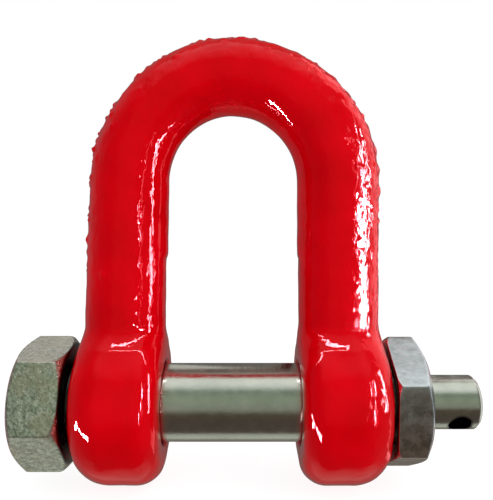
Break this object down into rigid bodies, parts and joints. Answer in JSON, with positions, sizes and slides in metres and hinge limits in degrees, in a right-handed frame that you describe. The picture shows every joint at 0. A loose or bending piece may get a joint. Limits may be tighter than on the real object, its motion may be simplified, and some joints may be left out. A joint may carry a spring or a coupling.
{
  "type": "dee shackle",
  "caption": "Bolt-type dee shackle: a red painted forged bow closed by a zinc-plated hexagon bolt with a drilled end and a thin hexagon nut.",
  "frame": {"origin": "the saddle inside the crown of the bow, midway between its legs, where a hook bears", "axes": "+X along the bolt from its head to its nut, +Y from front to back, +Z from the bolt up to the crown"},
  "size_m": [0.1408, 0.049, 0.1383],
  "materials": {
    "red_paint": "thick, glossy dipped paint with a lumpy surface",
    "zinc_bolt": "dull zinc plating over turned and forged steel, faintly green",
    "zinc_nut": "bright zinc plating over ground flats"
  },
  "bodies": {
    "bow": {"bow": "red_paint"},
    "bolt": {"hex_bolt": "zinc_bolt"},
    "nut": {"hex_nut": "zinc_nut"}
  },
  "joints": [
    {"name": "bolt_turn", "type": "hinge", "parent": "bow", "child": "bolt", "pos_m": [0, 0, -0.09], "axis": [-1, 0, 0], "range_deg": [0, 1300]},
    {"name": "nut_travel", "type": "slide", "parent": "bow", "child": "nut", "axis": [1, 0, 0], "range_m": [0, 0.011]}
  ],
  "couplings": [
    {"joint": "nut_travel", "follows": "bolt_turn", "m_per_rad": 0.00047746}
  ]
}
